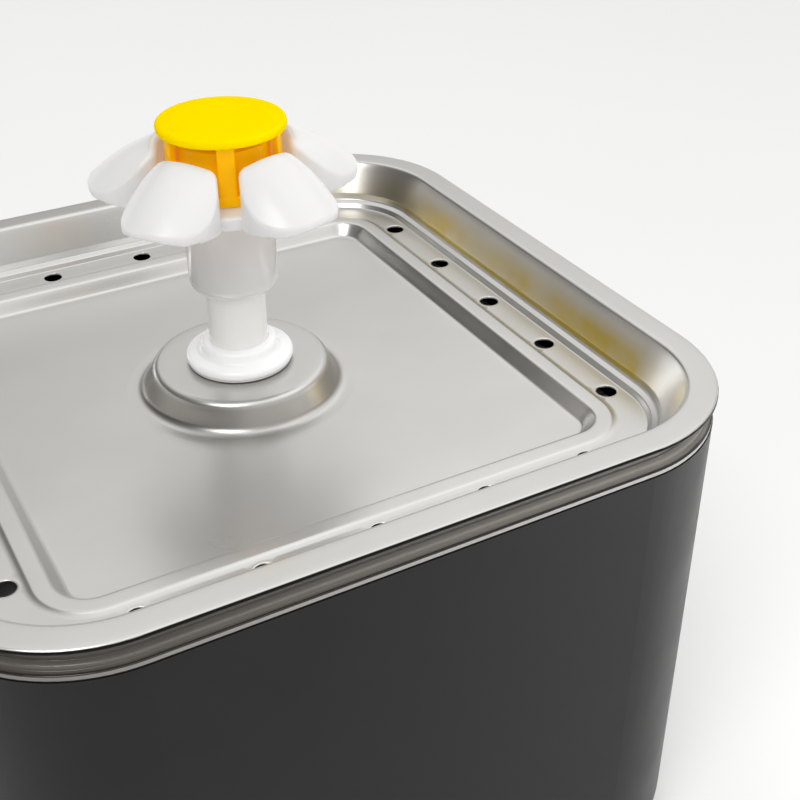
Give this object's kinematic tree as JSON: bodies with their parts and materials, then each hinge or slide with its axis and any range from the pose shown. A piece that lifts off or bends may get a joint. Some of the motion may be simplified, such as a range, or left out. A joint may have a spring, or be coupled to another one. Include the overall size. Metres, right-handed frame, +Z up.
{
  "type": "pet water fountain",
  "caption": "Square pet water fountain: black tank with a clear rim, pressed steel drinking tray with drain holes, flower spout on a stem, submerged pump and filter.",
  "frame": {"origin": "centre of the base, on the surface that the feet stand on", "axes": "+Z up; -Y towards the front side, +Y towards the side with the power socket; +X to the right"},
  "size_m": [0.19, 0.19, 0.2057],
  "materials": {
    "black_plastic": "satin black moulded plastic",
    "foot_rubber": "soft dark rubber",
    "clear_plastic": "clear plastic with a faint smoky tint",
    "steel": "pressed stainless sheet, satin with bright edges",
    "gasket_rubber": "dark silicone",
    "seal_silicone": "pale silicone",
    "white_plastic": "glossy white moulded plastic",
    "natural_plastic": "slightly translucent off-white plastic",
    "yellow_plastic": "glossy bright yellow plastic",
    "tube_plastic": "soft grey-white tubing",
    "basket_plastic": "pale moulded plastic",
    "fibre": "white non-woven fibre",
    "carbon": "dark carbon granules in a thin net",
    "pump_plastic": "matt black pump plastic",
    "foam": "open-cell dark foam",
    "magnet": "dark moulded magnet and impeller",
    "ceramic_white": "white ceramic",
    "core_steel": "laminated steel",
    "copper": "enamelled copper winding",
    "suction_vinyl": "pale soft vinyl",
    "lead_jacket": "black lead jacket",
    "contact_metal": "plated contact"
  },
  "bodies": {
    "tank": {"body_tank": "black_plastic", "foot_pads": "foot_rubber", "rim_ring": "clear_plastic", "riser_tube": "tube_plastic", "pump_housing": "pump_plastic", "volute_cover": "pump_plastic", "rotor_shaft": "ceramic_white", "shaft_bushes": "gasket_rubber", "stator_core": "core_steel", "stator_coil": "copper", "outlet_nozzle": "tube_plastic", "suction_feet": "suction_vinyl", "pump_lead": "lead_jacket", "lead_clips": "pump_plastic", "inlet_socket": "pump_plastic", "inlet_seal": "gasket_rubber", "inlet_nut": "pump_plastic", "inlet_pin": "contact_metal"},
    "basket": {"filter_basket": "basket_plastic", "fibre_pad": "fibre", "carbon_pack": "carbon"},
    "cover": {"filter_cover": "basket_plastic"},
    "tray": {"tray_lid": "steel"},
    "flower": {"boss_gasket": "seal_silicone", "stem_collar": "white_plastic", "stem_tube": "natural_plastic", "stem_sleeve": "natural_plastic", "flower_bloom": "white_plastic"},
    "crown": {"spout_crown": "yellow_plastic"},
    "strainer": {"pump_strainer": "pump_plastic", "intake_foam": "foam"},
    "dial": {"flow_dial": "tube_plastic"},
    "rotor": {"impeller_rotor": "magnet"}
  },
  "joints": [
    {"name": "basket_lift", "type": "slide", "parent": "tank", "child": "basket", "axis": [0, 0, 1], "range_m": [0, 0.06]},
    {"name": "cover_lift", "type": "slide", "parent": "basket", "child": "cover", "axis": [0, 0, 1], "range_m": [0, 0.03]},
    {"name": "tray_lift", "type": "slide", "parent": "cover", "child": "tray", "axis": [0, 0, 1], "range_m": [0, 0.06]},
    {"name": "flower_lift", "type": "slide", "parent": "tray", "child": "flower", "axis": [0, 0, 1], "range_m": [0, 0.09]},
    {"name": "crown_lift", "type": "slide", "parent": "flower", "child": "crown", "axis": [0, 0, 1], "range_m": [0, 0.03]},
    {"name": "strainer_pull", "type": "slide", "parent": "tank", "child": "strainer", "axis": [0, -1, 0], "range_m": [0, 0.025]},
    {"name": "dial_turn", "type": "hinge", "parent": "strainer", "child": "dial", "pos_m": [0, -0.0203, 0.0202], "axis": [0, -1, 0], "range_deg": [0, 180]},
    {"name": "impeller_spin", "type": "hinge", "parent": "tank", "child": "rotor", "pos_m": [0, 0, 0.0292], "axis": [0, 1, 0], "continuous": true}
  ]
}
